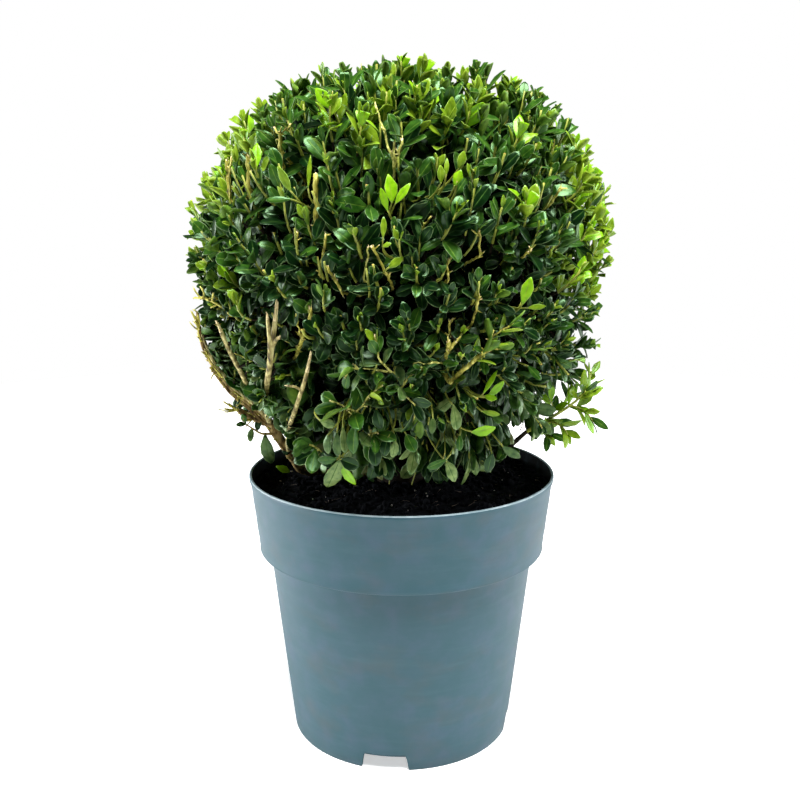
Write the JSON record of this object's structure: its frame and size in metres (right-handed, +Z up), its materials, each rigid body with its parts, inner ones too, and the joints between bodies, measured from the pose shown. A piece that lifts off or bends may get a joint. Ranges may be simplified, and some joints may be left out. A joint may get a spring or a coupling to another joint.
{
  "type": "potted japanese holly",
  "caption": "Small-leaved evergreen shrub clipped to a ball, on a short trunk in a tapering round plastic nursery pot filled with dark compost.",
  "frame": {"origin": "on the ground, at the middle of the pot's flat underside", "axes": "+Z up along the pot's axis, +X to the viewer's right, -Y towards the viewer of the picture"},
  "size_m": [0.3102, 0.2941, 0.4969],
  "materials": {
    "pot": "satin blue-grey plastic",
    "compost": "rough, near black",
    "bark": "rough bark",
    "foliage": "slightly glossy leaves"
  },
  "bodies": {
    "root": {"pot": "pot", "compost": "compost", "trunk": "bark", "bough_top_left": "bark", "bough_top_right": "bark", "bough_front_left": "bark", "bough_front_right": "bark", "bough_right": "bark", "bough_back_right": "bark", "bough_back_left": "bark", "bough_left": "bark", "low_left_bough": "bark", "low_right_bough": "bark", "left_outer_bough": "bark", "left_cut_stub_a": "bark", "left_cut_stub_b": "bark", "left_cut_stub_c": "bark", "foliage_top_left": "foliage", "foliage_top_right": "foliage", "foliage_front_left": "foliage", "foliage_front_right": "foliage", "foliage_right": "foliage", "foliage_back_right": "foliage", "foliage_back_left": "foliage", "foliage_left": "foliage", "foliage_low_right": "foliage"}
  },
  "joints": []
}
